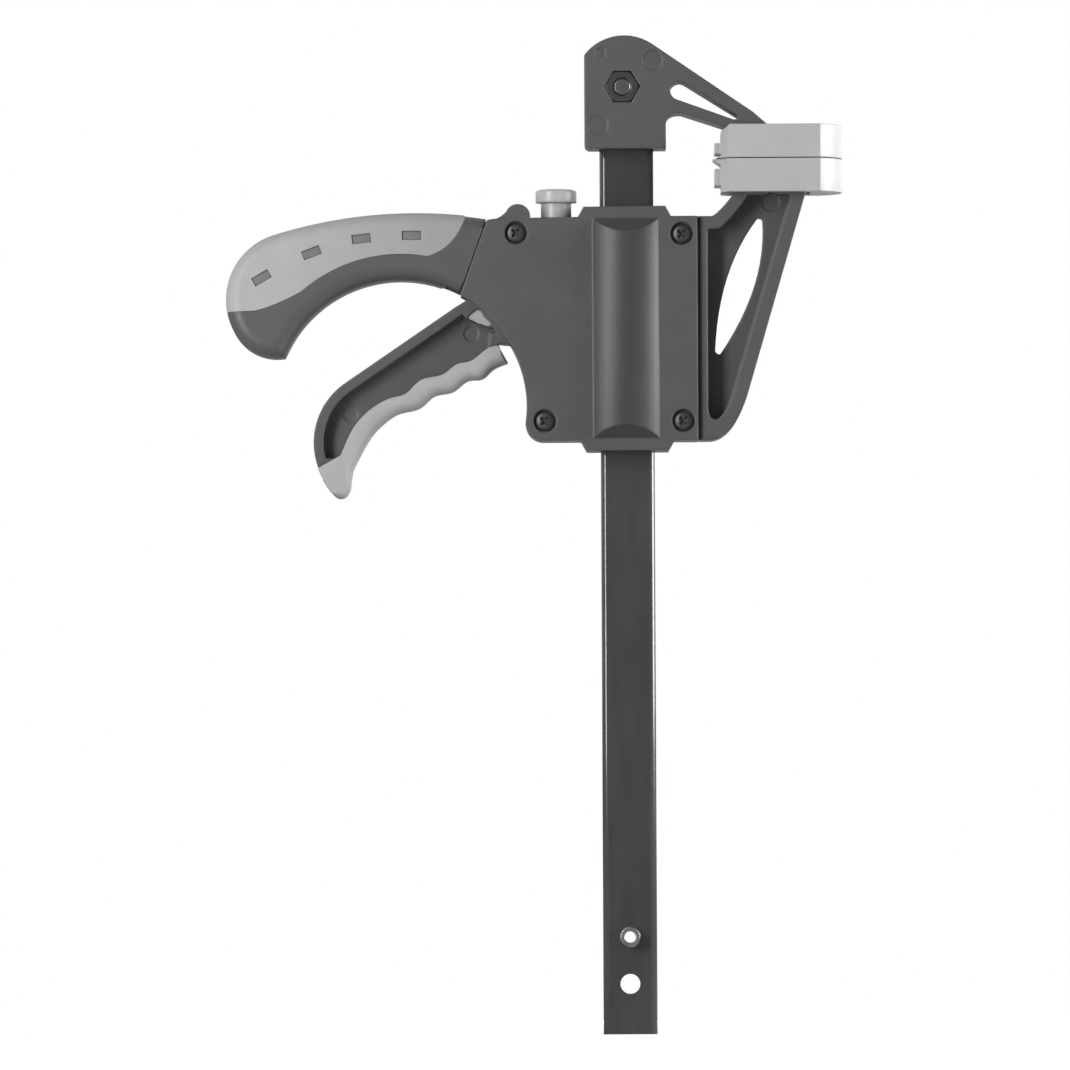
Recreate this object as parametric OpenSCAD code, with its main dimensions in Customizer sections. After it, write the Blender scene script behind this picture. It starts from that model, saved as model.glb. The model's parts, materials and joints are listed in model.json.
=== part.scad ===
// Quick release bar clamp, closed, standing on the lower end of its bar.
// X points from the handle to the jaws, Y to the rear, Z up along the bar to the fixed jaw.
// The origin is the centre of the bar's lower end face.

/* [Bar] */
// Width of the bar
bar_w = 18; // [16:0.5:20]
// Thickness of the bar
bar_t = 5; // [4:0.5:6]
// Length of the bar, from its lower end to its end inside the fixed jaw
bar_l = 324.5; // [300:0.5:420]
// Rounding of the bar's long edges
bar_edge_r = 2.2; // [0.5:0.1:2.4]
// Diameter of the hole at the bar's lower end
end_hole_d = 6.6; // [5:0.1:8]
// Height of that hole above the bar's lower end
end_hole_z = 16.8; // [12:0.2:20]
// Outside diameter of the rolled stop pin
stop_pin_d = 6.6; // [4:0.1:7]
// Wall of the rolled stop pin
stop_pin_wall = 1.4; // [0.7:0.1:1.6]
// Length of the stop pin
stop_pin_l = 14; // [11:0.5:15]
// Height of the stop pin above the bar's lower end
stop_pin_z = 32.4; // [28:0.2:40]

/* [Fixed jaw] */
// Diameter of the bolt that holds the fixed jaw
bolt_d = 6; // [5:0.5:6.5]
// Distance from the bar's axis to the bolt's, to the handle side
bolt_back = 1.3; // [0:0.1:2]
// Height of the nut
nut_h = 5; // [4:0.5:5.5]
// Distance from the bolt's axis to the end of the bar
bolt_edge = 9; // [7:0.5:11]
// Distance from the bolt's axis down to the head's lower face
head_drop = 20.6; // [18:0.2:24]
// Radius of the head's round back
head_r = 16.8; // [15.5:0.1:18.5]
// Reach of the head to the handle side of the bar's axis
head_back = 13.9; // [12.5:0.1:15]
// Reach of the head to the jaw side of the bar's axis
head_front = 13.2; // [12:0.1:14.5]
// Half thickness of the fixed jaw
jaw_half = 9; // [8:0.1:10]
// Slope of the arm, below the horizontal
arm_slope = 34.3; // [31:0.1:37]
// Thickness of the arm's upper strut where it leaves the head
strut_t = 4.7; // [4:0.1:6]

/* [Pads] */
// Distance from the bar's axis to the inner end of the pads
pad_in = 31.5; // [29:0.5:34]
// Length of the pads, to the tip of their round end
pad_l = 40.5; // [36:0.5:46]
// Half width of the pads
pad_half = 14; // [12.5:0.1:15]
// Thickness of each pad along the bar
pad_h = 11.1; // [9.5:0.1:13]
// Radius of the pads' round end
pad_end_r = 16.7; // [15.5:0.1:19]
// Thickness of the pads' skin over the jaw's plate
pad_skin = 2.6; // [2:0.1:3.2]
// Gap between the two pads when the clamp is closed
pad_gap = 0.3; // [0.3:0.05:1]
// Distance from the bolt's axis down to the fixed pad's face
pad_drop = 24; // [22:0.1:26]

/* [Housing] */
// Height of the housing
housing_h = 74.6; // [72:0.2:80]
// Distance from the bar's axis to the housing's edge on the jaw side
housing_front = 23.6; // [22:0.1:25]
// Half thickness of the frame between its covers
frame_half = 8; // [7.4:0.1:9]
// Thickness of each cover
cover_t = 3; // [2.5:0.1:3.5]
// Wall of the frame round the works
frame_wall = 3; // [2.4:0.1:3.6]
// Radius of the ridges over the bar
ridge_r = 15.6; // [15:0.1:17]
// Half width of the ridges
ridge_half = 11.6; // [10:0.1:12]
// Distance from the ends of the ridges to the housing's ends
ridge_end = 0.5; // [0.3:0.1:2]
// Shift of the ridges and the upper collar to the handle side
ridge_back = 0.4; // [0:0.1:1]
// Height of the collars at both ends of the housing
collar_h = 3.4; // [2.5:0.1:4.5]
// Half width of the collars at their end
collar_half = 13.6; // [13:0.1:16]
// Distance from the housing's top to the movable pad's face
jaw_rise = 19; // [17:0.1:21]
// Width of the seam between the covers and what they meet
seam = 0.35; // [0.2:0.05:0.6]

/* [Movable jaw] */
// Thickness of the outer flange of the movable jaw
jaw_flange = 4.6; // [3.6:0.1:5.6]
// Half thickness of the movable jaw's web
jaw_web_half = 2.2; // [1.6:0.1:3]
// Lean of the outer flange from the bar's direction
jaw_lean = 16.3; // [14:0.1:18]

/* [Handle] */
// Radius of the finger bow between handle and trigger
bow_r = 41.8; // [40:0.1:43]
// Half thickness of the handle
handle_half = 11; // [10.5:0.1:12.5]
// Radius of the handle's arched back
arch_r = 159; // [150:0.5:170]
// Radius of the handle's shoulder at its end
shoulder_r = 22.6; // [21.5:0.1:23.5]
// Radius of the handle's tip
tip_r = 15.8; // [15:0.1:16.5]
// Rounding of the long edges of the handle's back
handle_edge_r = 5; // [3.5:0.1:6]
// Rounding of the handle's long edges round the finger bow
bow_edge_r = 5.3; // [3.5:0.1:6]
// Thickness of the soft grip
grip_t = 2; // [1.5:0.1:2.6]

/* [Trigger] */
// Half thickness of the trigger's flanges
trigger_half = 7.4; // [6.8:0.1:7.6]
// Half thickness of the trigger's web
trigger_web_half = 2.5; // [1.8:0.1:3.5]
// Width of the trigger's flange
trigger_flange = 3.3; // [2.6:0.1:4]
// Diameter of the trigger's pivot pin
pivot_d = 5; // [4:0.1:6]
// Travel of the trigger, in degrees
trigger_travel = 16; // [12:0.5:16]
// Half thickness of the trigger's soft grip
finger_half = 8.6; // [8:0.1:9.5]

/* [Works] */
// Radial clearance of a running fit
fit = 0.05; // [0.02:0.01:0.08]
// Clearance between pieces that slide past each other
slide_gap = 0.3; // [0.25:0.05:0.4]
// Thickness of the drive lever
drive_t = 4; // [3:0.1:5]
// Half width of both levers across the bar
lever_half = 7; // [6:0.1:7.4]
// Thickness of the brake lever
brake_t = 3; // [2.4:0.1:3.4]
// Outside diameter of the drive spring
drive_spring_d = 23.6; // [22.4:0.1:24]
// Wire of the drive spring
drive_wire = 1.8; // [1.4:0.1:2.2]
// Turns of the drive spring
drive_turns = 6; // [4:1:8]
// Outside diameter of the brake spring
brake_spring_d = 7; // [6:0.1:8]
// Wire of the brake spring
brake_wire = 0.9; // [0.7:0.1:1.1]
// Turns of the brake spring
brake_turns = 3; // [2:1:4]

/* [Release button] */
// Diameter of the button's head
button_d = 13.7; // [12.5:0.1:15]
// Height of the button's head
button_h = 4.5; // [3.5:0.1:5.5]
// Diameter of the button's stem
stem_d = 10.2; // [8.5:0.1:11]
// Travel of the button
button_travel = 3; // [2.5:0.1:3.2]
// Gap that stays between the button's head and the roof when it is pressed home
button_gap = 2; // [1.5:0.1:2.4]

/* [Screws] */
// Diameter of the cover screws
screw_d = 3; // [2.5:0.1:3.5]
// Diameter of the cover screws' heads
screw_head_d = 6.5; // [5.5:0.1:7]
// Diameter of the recesses that the heads lie in
screw_recess_d = 7.7; // [7.3:0.1:8.4]

/* [Hidden] */
$fn = 96;

far = 400;

// Heights on the bar
bolt_z = bar_l - bolt_edge;
fixed_face_z = bolt_z - pad_drop;
head_z = bolt_z - head_drop;
jaw_face_z = housing_h + jaw_rise;
body_z = fixed_face_z - pad_gap - jaw_face_z;
slot_w = bar_w + 2 * slide_gap;
slot_t = bar_t + 2 * slide_gap;

// The pads and the plates inside them
pad_out = pad_in + pad_l;
pad_chamfer = [2.8, 4.5];
plate_in = pad_in + pad_skin + 1.5;
plate_out = pad_out - pad_skin - 1;
plate_half = pad_half - pad_skin;
plate_t = pad_h - 2 * pad_skin;

// The housing, in heights above its lower edge
cover_half = frame_half + cover_t;
pivot = [-38, housing_h - 24.6];
bow_c = [-75.4, pivot[1] + 3.7 - bow_r];
mouth_a = 27.5;
foot_r = 6;
foot_c = bow_c + [sqrt(pow(bow_r + foot_r, 2) - pow(bow_c[1] - foot_r, 2)), foot_r - bow_c[1]];
collar_base = collar_half + 1.9;
split_top = [-46.6, housing_h - 1.1];
split_low = [-56, pivot[1] - 2.4];
hump_c = [-36.3, housing_h];
hump_r = 4.2;
roof_drop = 0.4;
upper_collar = [
    [collar_base - 2 * ridge_back, housing_h], [collar_half - 2 * ridge_back, housing_h + collar_h],
    [-collar_half - 2 * ridge_back, housing_h + collar_h - roof_drop / 2],
    [-collar_base - 2 * ridge_back, housing_h - roof_drop / 2]
];
screw_spots = [
    [-36.9, housing_h - 5.4], [housing_front - 5.3, housing_h - 5.9],
    [foot_c[0] + 0.4, 6.5], [housing_front - 5, 6.4]
];
boss_r = 4.5;
spring_room_r = ridge_r - 2.6;

// The handle's arcs, each tangent to the one before. They are drawn from the arch's centre, in a
// frame turned so that the arch meets the shoulder straight above it
arch_c = [-70.7, housing_h + 1.6 - arch_r];
arch_turn = 17.2;
shoulder_c = [0, arch_r - shoulder_r];
tip_dir = [-0.96, -0.28];
tip_c = shoulder_c + (shoulder_r - tip_r) * tip_dir;
grip_edge_r = bow_r + 8.7;
grip_x = split_top[0] - 7.4;
window_size = [6.3, 3.1];
window_spots = [
    [-71.7, housing_h - 6.1, 0], [-88.4, housing_h - 7.1, 6.5],
    [-105, housing_h - 11.7, 21], [-121.7, housing_h - 20, 30.5]
];

// The works, in heights above the housing's lower edge
hub_r = 5.5;
nose = [-15, pivot[1] - 2];
nose_r = 3;
drive_top = nose[1] - nose_r - slide_gap;
drive_x = [nose[0] - 2.5, 15];
spring_seat_z = frame_wall;
brake_pivot = [12, housing_h - 10.8];
brake_x = [-28.5, 15];
button_x = -23.5;
button_r = button_d / 2;
stem_r = stem_d / 2;
brake_run = brake_pivot[0] - button_x;
brake_cant = atan(button_travel / brake_run);
lever_top_z = brake_pivot[1] + brake_run * tan(brake_cant) + brake_t / 2 / cos(brake_cant);
lever_low_z = lever_top_z - brake_t / cos(brake_cant);
shelf_z = [hub_r + pivot[1] + 0.7, hub_r + pivot[1] + 2.2];
stem_tip_r = 2;
stem_low_z = lever_top_z + slide_gap + stem_tip_r * tan(brake_cant);

function at(c, r, a) = c + r * [cos(a), sin(a)];
function arc(c, r, a0, a1, n = 16) = [for (i = [0:n]) at(c, r, a0 + (a1 - a0) * i / n)];
function curve(a, b, c, n = 12) = [
    for (i = [0:n]) let (t = i / n) (1 - t) * (1 - t) * a + 2 * t * (1 - t) * b + t * t * c
];

// A smooth line through all the points p, with n steps between two of them
function spline(p, n = 4) = [
    for (i = [0:len(p) - 2])
        let (a = p[max(i - 1, 0)], b = p[i], c = p[i + 1], d = p[min(i + 2, len(p) - 1)])
        for (k = [0:n - 1])
            let (t = k / n)
            b + ((c - a) * t + (2 * a - 5 * b + 4 * c - d) * t * t + (3 * b - a - 3 * c + d) * t * t * t) / 2,
    p[len(p) - 1]
];

// An outline drawn in X and Z, made solid from y0 to y1
module slab(y0, y1) {
    translate([0, y1, 0])
        rotate([90, 0, 0])
            linear_extrude(y1 - y0) children();
}

// A round bar or hole along Y at a point of the XZ plane
module round_y(p, r, y0, y1, sides = 96) {
    translate([p[0], y0, p[1]])
        rotate([-90, 0, 0])
            cylinder(r = r, h = y1 - y0, $fn = sides);
}

// A form turned about an axis along Y; its outline gives the radius and Y
module turned_y(p) {
    translate([p[0], 0, p[1]])
        rotate([-90, 0, 0])
            rotate_extrude($fn = 180) children();
}

module on_body() {
    translate([0, 0, body_z]) children();
}

// Rounds convex corners of an outline
module eased(r) {
    offset(r = r, $fn = 32) offset(delta = -r) children();
}

module bar_section(w, t, r) {
    square([w - 2 * r, t], center = true);
    square([w, t - 2 * r], center = true);
    for (x = [-1, 1], y = [-1, 1])
        translate([x * (w / 2 - r), y * (t / 2 - r)])
            circle(r = r);
}

// BAR
module bar() {
    color("dimgray")
        difference() {
            linear_extrude(bar_l)
                bar_section(bar_w, bar_t, min(bar_edge_r, bar_t / 2 - 0.1));
            round_y([0, end_hole_z], end_hole_d / 2, -bar_t, bar_t);
            round_y([0, stop_pin_z], stop_pin_d / 2 + fit, -bar_t, bar_t);
            round_y(bolt, bolt_d / 2 + fit, -bar_t, bar_t);
        }
}

module stop_pin() {
    color("silver")
        difference() {
            round_y([0, stop_pin_z], stop_pin_d / 2, -stop_pin_l / 2, stop_pin_l / 2);
            round_y([0, stop_pin_z], stop_pin_d / 2 - stop_pin_wall, -stop_pin_l, stop_pin_l);
        }
}

// FIXED JAW
// The arm's upper edge touches the head's round back and slopes down to the pad
bolt = [-bolt_back, bolt_z];
head_c = [-bolt_back / 2, bolt_z + 0.3];
arm_normal = [sin(arm_slope), cos(arm_slope)];
arm_run = [cos(arm_slope), -sin(arm_slope)];
arm_root = head_c + head_r * arm_normal;
arm_tip = arm_root + 40.4 * arm_run;
pad_back_z = fixed_face_z + pad_h;
arm_out_x = arm_tip[0] + 4.5;

// The arm's lower edge runs from the throat down to the plate
throat = [head_front + 5.1, head_z + 11.7];
arm_foot = [plate_in, pad_back_z - 1.7];
function arm_low_z(x) = throat[1] + (x - throat[0]) * (arm_foot[1] - throat[1]) / (arm_foot[0] - throat[0]);

module fixed_jaw_outline() {
    intersection() {
        translate(head_c) circle(r = head_r);
        translate([-head_back, bolt_z - head_r]) square([2 * head_r, 3 * head_r]);
    }
    polygon(concat(
        [[-head_back, bolt_z]],
        curve([-head_back, head_z + 2], [-head_back, head_z], [2 - head_back, head_z], 6),
        [[head_front, head_z]],
        curve([head_front, head_z + 8.4], [head_front + 0.2, head_z + 12], throat, 8),
        [arm_foot, [plate_in, pad_back_z - pad_skin - 1], [arm_out_x, pad_back_z - pad_skin - 1]],
        [[arm_out_x, pad_back_z + 0.4], arm_tip, arm_root]
    ));
}

// The three-cornered window between the arm's two struts
module arm_window() {
    end_r = 3.1;
    end_c = arm_root + 16.2 * arm_run - (strut_t + end_r) * arm_normal;
    polygon(concat(
        arc(end_c, end_r, 250, 90 - arm_slope, 20),
        [arm_root + 37 * arm_run - (strut_t - 0.8) * arm_normal],
        [arm_root + 37.6 * arm_run - strut_t * arm_normal],
        [arm_root + 36.6 * arm_run - (strut_t + 1) * arm_normal]
    ));
}

module pad_plate(z0, z1) {
    translate([0, 0, z0])
        linear_extrude(z1 - z0)
            intersection() {
                translate([plate_in, -plate_half])
                    square([plate_out - plate_in, 2 * plate_half]);
                translate([plate_out - pad_end_r + pad_skin, 0])
                    circle(r = pad_end_r - pad_skin);
            }
    translate([plate_in, -plate_half, z0])
        cube([plate_out - plate_in - pad_end_r + pad_skin, 2 * plate_half, z1 - z0]);
}

module fixed_jaw() {
    color("dimgray")
        difference() {
            union() {
                slab(-jaw_half, jaw_half) fixed_jaw_outline();
                pad_plate(fixed_face_z + pad_skin, pad_back_z - pad_skin);
            }
            slab(-far, far) arm_window();
            translate([0, 0, head_z - 1])
                linear_extrude(bar_l - head_z + 1 + slide_gap)
                    square([bar_w + 4 * fit, bar_t + 4 * fit], center = true);
            round_y(bolt, bolt_d / 2 + fit, -far, far);
            round_y(bolt, nut_r + 0.25, -far, nut_h - jaw_half, 6);
            round_y(bolt, nut_r + 0.25, jaw_half - bolt_head_h - 0.5, far, 6);
            for (p = [[-9.4, bolt_z - 12.9, 3.3], [8.9, bolt_z + 8.8, 3.3], [-8.4, bolt_z + 11.5, 1.6]])
                round_y(p, p[2], -far, 0.3 - jaw_half);
        }
}

// The nut and the bolt's head share their width across corners
nut_r = bolt_d * 0.955;
bolt_head_h = bolt_d * 0.67;

module jaw_nut() {
    color("silver")
        intersection() {
            difference() {
                round_y(bolt, nut_r, 0.4 - jaw_half, nut_h - jaw_half - fit, 6);
                round_y(bolt, bolt_d / 2 + fit, -far, far);
            }
            turned_y(bolt)
                polygon([
                    [0, -jaw_half], [nut_r - 0.8, -jaw_half], [nut_r + 0.1, 1 - jaw_half],
                    [nut_r + 0.1, nut_h], [0, nut_h]
                ]);
        }
}

module jaw_bolt() {
    color("silver") {
        turned_y(bolt)
            polygon([
                [0, 0.2 - jaw_half], [bolt_d / 2 - 0.6, 0.2 - jaw_half], [bolt_d / 2, 0.8 - jaw_half],
                [bolt_d / 2, jaw_half - bolt_head_h], [0, jaw_half - bolt_head_h]
            ]);
        round_y(bolt, nut_r, jaw_half - bolt_head_h - 0.4, jaw_half - 0.4, 6);
    }
}

// PADS
module pad_plan(inset) {
    intersection() {
        translate([pad_in + inset, inset - pad_half])
            square([pad_l, 2 * (pad_half - inset)]);
        union() {
            translate([pad_out - pad_end_r, 0]) circle(r = pad_end_r - inset);
            polygon([
                [pad_in + inset, pad_chamfer[1] - pad_half],
                [pad_in + inset + pad_chamfer[0], inset - pad_half],
                [pad_out - pad_end_r, inset - pad_half], [pad_out - pad_end_r, pad_half - inset],
                [pad_in + inset + pad_chamfer[0], pad_half - inset], [pad_in + inset, pad_half - pad_chamfer[1]]
            ]);
        }
    }
}

// A pad with its clamping face down at z = 0; its jaw enters from above between two places along X.
// Its inner end has a tab from tab_z[0] to tab_z[1] and a lip of that reach and height
module pad(mouth_x, tab_z, lip) {
    tab_half = pad_half - pad_chamfer[1] - 1;
    difference() {
        union() {
            linear_extrude(pad_h) pad_plan(0);
            translate([pad_in - 2.1, -tab_half, tab_z[0]])
                cube([3.1, 2 * tab_half, tab_z[1] - tab_z[0]]);
            slab(-tab_half, tab_half)
                polygon([[pad_in + 1, 0], [pad_in - lip[0], 0], [pad_in, lip[1]], [pad_in + 1, lip[1]]]);
        }
        pad_plate_room();
        translate([mouth_x[0], -jaw_half - fit, pad_skin])
            cube([mouth_x[1] - mouth_x[0], 2 * (jaw_half + fit), pad_h]);
    }
}

module pad_plate_room() {
    translate([0, 0, pad_skin - fit])
        linear_extrude(plate_t + 2 * fit)
            offset(delta = fit)
                projection() pad_plate(0, 1);
}

// The fixed pad's upper inner corner is cut back under the arm
module fixed_jaw_pad() {
    corner = [2.9, 2.3];
    color("lightgray")
        difference() {
            translate([0, 0, fixed_face_z])
                pad([plate_in - fit, arm_out_x + fit], [1.5, 5], [1.7, 0.8]);
            slab(-far, far)
                polygon([
                    [pad_in - 1, pad_back_z + 1], [pad_in - 1, pad_back_z - corner[1] - corner[1] / corner[0]],
                    [pad_in + corner[0] + corner[0] / corner[1], pad_back_z + 1]
                ]);
            slab(-jaw_half - fit, jaw_half + fit)
                polygon([
                    [pad_in - 1, far], [pad_in - 1, arm_low_z(pad_in - 1) - fit],
                    [plate_in, arm_foot[1] - fit], [plate_in, far]
                ]);
        }
}

module movable_jaw_pad() {
    color("lightgray")
        on_body()
            translate([0, 0, jaw_face_z])
                mirror([0, 0, 1])
                    pad([jaw_neck_x[0] - fit, jaw_neck_x[1] + fit], [3.2, 8.8], [2.7, 2]);
}

// BODY FRAME
module housing_outline() {
    difference() {
        union() {
            polygon(concat(
                [[foot_c[0], 0], [-collar_base, 0], [-collar_half, -collar_h], [collar_half, -collar_h]],
                [[collar_base, 0], [housing_front, 0], [housing_front, housing_h]],
                upper_collar,
                [hump_c + [hump_r - 0.6, -roof_drop], hump_c + [-hump_r - 4, -roof_drop - 0.3]],
                [split_top, split_low, at(bow_c, bow_r - 2, -9), foot_c]
            ));
            translate(foot_c) circle(r = foot_r);
            translate(hump_c) circle(r = hump_r);
            polygon(concat(
                curve(hump_c + [-hump_r - 3.6, -roof_drop - 0.4], hump_c + [-hump_r - 0.6, 0],
                    at(hump_c, hump_r - 0.05, 135), 8),
                [hump_c]
            ));
        }
        translate(bow_c) circle(r = bow_r);
    }
}

// The room for the works inside the frame
module works_room() {
    polygon([
        [foot_c[0] + 1.5, frame_wall], [housing_front - frame_wall, frame_wall],
        [housing_front - frame_wall, housing_h - frame_wall], [hump_c[0] - hump_r, housing_h - frame_wall],
        [split_top[0] + 2.6, housing_h - frame_wall - 1],
        split_low + [6, 6], at(bow_c, bow_r + frame_wall, 42), at(bow_c, bow_r + frame_wall, 30),
        at(bow_c, bow_r + frame_wall, 18), at(bow_c, bow_r + frame_wall, 5), at(bow_c, bow_r + frame_wall, -5)
    ]);
}

// The mouth in the frame that the trigger passes through, with room for its travel
module trigger_mouth() {
    root = pivot + turned(trigger_root, trigger_travel);
    polygon([
        at(bow_c, bow_r - 3, mouth_a), at(bow_c, bow_r + 5, mouth_a), pivot + [4, 0], pivot + [4, hub_r + 0.4],
        pivot + [-12, hub_r + 0.4], root + [0.3, 3.2], root + [-3.8, 1.4], root + [-6.2, -1.3]
    ]);
}

// The movable jaw, an I-beam that runs up into its pad
jaw_x0 = housing_front + 2 * seam;
jaw_under_z = jaw_face_z - pad_h;
jaw_back_x = pad_in + 28.2;
jaw_neck_x = [pad_in + 4.4, jaw_back_x + 1.3];
jaw_run = [sin(jaw_lean), cos(jaw_lean)];
jaw_foot = [jaw_back_x, jaw_under_z] - (jaw_under_z - 15) / cos(jaw_lean) * jaw_run;
jaw_heel = [jaw_back_x - 0.6, jaw_under_z] - (jaw_under_z - 0.5) / cos(jaw_lean) * jaw_run;
flange_shift = [jaw_flange / cos(jaw_lean), 0];

module jaw_outline() {
    polygon(concat(
        [[jaw_x0, 0], [jaw_x0, housing_h]],
        curve([jaw_x0 + 4.2, housing_h], [jaw_x0 + 7, housing_h + 1.6], [jaw_neck_x[0], jaw_under_z]),
        [[jaw_neck_x[0], jaw_under_z + pad_skin + 1], [jaw_neck_x[1], jaw_under_z + pad_skin + 1]],
        [[jaw_neck_x[1], jaw_under_z + 1], [jaw_back_x, jaw_under_z]],
        curve(jaw_foot, jaw_heel, [jaw_x0 + 3.4, 0])
    ));
}

module jaw_recess() {
    eased(1.2)
        polygon(concat(
            curve([jaw_x0 + 2.5, 11], [jaw_x0 + 2.5, 6.6], [jaw_x0 + 5.4, 6.9]),
            curve([jaw_x0 + 6, 7.2], [jaw_x0 + 9, 9.5], jaw_foot - flange_shift + [0.4, 2]),
            [[jaw_back_x, jaw_under_z - 0.8] - flange_shift, [jaw_neck_x[0] + 4.3, jaw_under_z - 0.8]],
            curve([jaw_neck_x[0] + 4, jaw_under_z - 1.5], [jaw_neck_x[0] + 0.6, jaw_under_z - 6.8],
                [jaw_x0 + 6.4, housing_h - 4.2]),
            [[jaw_x0 + 2.5, housing_h - 4.2]]
        ));
}

module leaf_window() {
    eased(0.7)
        polygon(concat(
            curve([29.3, 29.6], [30.5, 57.1], [43.7, jaw_under_z - 8.3]),
            curve([45.2, jaw_under_z - 8.7], [46.9, 52.1], [30.8, 28.5])
        ));
}

// The handle's outer form in the turned frame, shrunk all round by a depth d
module handle_back(d, half, edge_r) {
    intersection() {
        turned_y([0, 0]) rounded_rim(arch_r - d, half, edge_r);
        slab(-far, far) square([far, far]);
    }
    intersection() {
        turned_y(shoulder_c) rounded_rim(shoulder_r - d, half, edge_r);
        slab(-far, far)
            translate(shoulder_c)
                polygon([[0, 0], 2 * shoulder_r * tip_dir, [-60, 40], [30, 40], [30, -9], [0, -9]]);
    }
    turned_y(tip_c) rounded_rim(tip_r - d, half, edge_r);
}

// The handle's full form, shrunk all round by a depth d
module handle_form(d) {
    edge_r = handle_edge_r - d;
    half = handle_half - d;
    difference() {
        intersection() {
            translate([arch_c[0], 0, arch_c[1]])
                rotate([0, -arch_turn, 0])
                    handle_back(d, half, edge_r);
            slab(-far, far)
                polygon([
                    [-150, 20], split_low + [4, -28], split_low - [seam, 0], split_top - [seam, 0],
                    split_top + [-seam, 10], [-150, housing_h + 20]
                ]);
        }
        turned_y(bow_c) bow_section(bow_r + d, half, bow_edge_r - d);
    }
}

// A disc's half section with rounded rims
module rounded_rim(r, half, edge_r) {
    translate([0, -half]) square([r - edge_r, 2 * half]);
    translate([0, edge_r - half]) square([r, 2 * (half - edge_r)]);
    for (y = [-1, 1])
        translate([r - edge_r, y * (half - edge_r)])
            circle(r = edge_r);
}

// What the finger bow takes away, leaving the handle's lower edges round
module bow_section(r, half, edge_r) {
    difference() {
        translate([0, -half - 1]) square([r + edge_r, 2 * half + 2]);
        translate([r, edge_r - half]) square([edge_r + 1, 2 * (half - edge_r)]);
        for (y = [-1, 1])
            translate([r + edge_r, y * (half - edge_r)])
                circle(r = edge_r);
    }
}

// The side of the handle that the soft grip covers
module grip_zone() {
    difference() {
        polygon(concat(
            [[grip_x, housing_h + 8], [grip_x, housing_h - 0.6]],
            curve([grip_x, housing_h - 0.6], [grip_x - 4.8, housing_h - 13], [grip_x - 16.5, housing_h - 13.6]),
            [[-80, bow_c[1] + 28], [-104, bow_c[1] + 28]],
            curve(at(bow_c, grip_edge_r - 0.5, 126.8), [-115.5, housing_h - 28.9], [-124, housing_h - 30.9]),
            [[-150, housing_h - 31.9], [-150, housing_h + 8]]
        ));
        translate(bow_c) circle(r = grip_edge_r);
    }
}

module grip_windows(grow) {
    for (w = window_spots)
        translate([w[0], w[1]])
            rotate(w[2])
                square(window_size + 2 * [grow, grow], center = true);
}

// The core between the grip and the housing lies lower than the grip, in line with the roof
module core_step() {
    polygon([
        [grip_x, housing_h + 0.3], split_top + [0, roof_drop], split_top + [0, 5], [grip_x, housing_h + 5]
    ]);
}

module handle_core() {
    difference() {
        handle_form(0);
        slab(-far, far) grip_zone();
        slab(-far, far) core_step();
    }
    handle_form(grip_t);
    intersection() {
        slab(0.7 - handle_half, handle_half - 0.7) grip_windows(0);
        handle_form(0.3);
    }
}

module handle_soft_grip() {
    color("lightgray")
        on_body()
            difference() {
                intersection() {
                    handle_form(0);
                    slab(-far, far) grip_zone();
                }
                handle_form(grip_t);
                slab(-far, far) grip_windows(0);
            }
}

// Stops that the brake lever's right end works between
module brake_fulcrum() {
    slab(-frame_half, frame_half) {
        translate([brake_pivot[0] + 1, brake_pivot[1] + brake_t / 2 + 0.7])
            square([housing_front - brake_pivot[0] - 2, 2.4]);
        translate([brake_pivot[0] + 0.5, brake_pivot[1] - brake_t / 2 - 2.7])
            square([housing_front - brake_pivot[0] - 2, 1.8]);
    }
}

module body_frame() {
    color("dimgray")
        on_body()
            difference() {
                union() {
                    slab(-frame_half, frame_half)
                        difference() {
                            housing_outline();
                            works_room();
                        }
                    slab(-frame_half, frame_half)
                        translate([split_low[0], shelf_z[0]])
                            square([button_x + brake_spring_d / 2 + 1.5 - split_low[0], shelf_z[1] - shelf_z[0]]);
                    for (p = screw_spots)
                        round_y(p, boss_r, -frame_half, frame_half);
                    brake_fulcrum();
                    handle_core();
                    difference() {
                        slab(-jaw_half, jaw_half) jaw_outline();
                        slab(-far, -jaw_web_half) jaw_recess();
                        slab(jaw_web_half, far) jaw_recess();
                    }
                    slab(-frame_half, frame_half)
                        translate([housing_front - 1, 0])
                            square([jaw_x0 - housing_front + 2, housing_h]);
                    pad_plate(jaw_under_z + pad_skin, jaw_face_z - pad_skin);
                }
                slab(-frame_half, frame_half) trigger_mouth();
                slab(-far, far) leaf_window();
                translate([0, 0, -collar_h - 1])
                    linear_extrude(housing_h + 2 * collar_h + 2)
                        square([slot_w, slot_t], center = true);
                translate([button_x, 0, housing_h / 2])
                    cylinder(r = stem_r + slide_gap, h = housing_h);
                for (p = screw_spots)
                    round_y(p, screw_d / 2 + 2 * fit, -far, far);
                round_y([48, jaw_under_z - 3.1], 3, -far, 0.3 - jaw_web_half);
            }
}

// COVERS
module cover_outline() {
    difference() {
        housing_outline();
        translate([housing_front - seam / 2, -far / 2]) square([far, far]);
    }
}

// The ridge over the bar, round about the bar's axis with slanted ends
module ridge() {
    rise = ridge_r + 1 - cover_half;
    intersection() {
        translate([-ridge_back, 0, 0]) cylinder(r = ridge_r, h = housing_h, $fn = 180);
        translate([-ridge_half - ridge_back, 0, 0])
            rotate([90, 0, 90])
                linear_extrude(2 * ridge_half)
                    polygon([
                        [frame_half, ridge_end], [cover_half, ridge_end], [cover_half + rise, ridge_end + rise],
                        [cover_half + rise, housing_h - ridge_end - rise], [cover_half, housing_h - ridge_end],
                        [frame_half, housing_h - ridge_end]
                    ]);
    }
}

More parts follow.
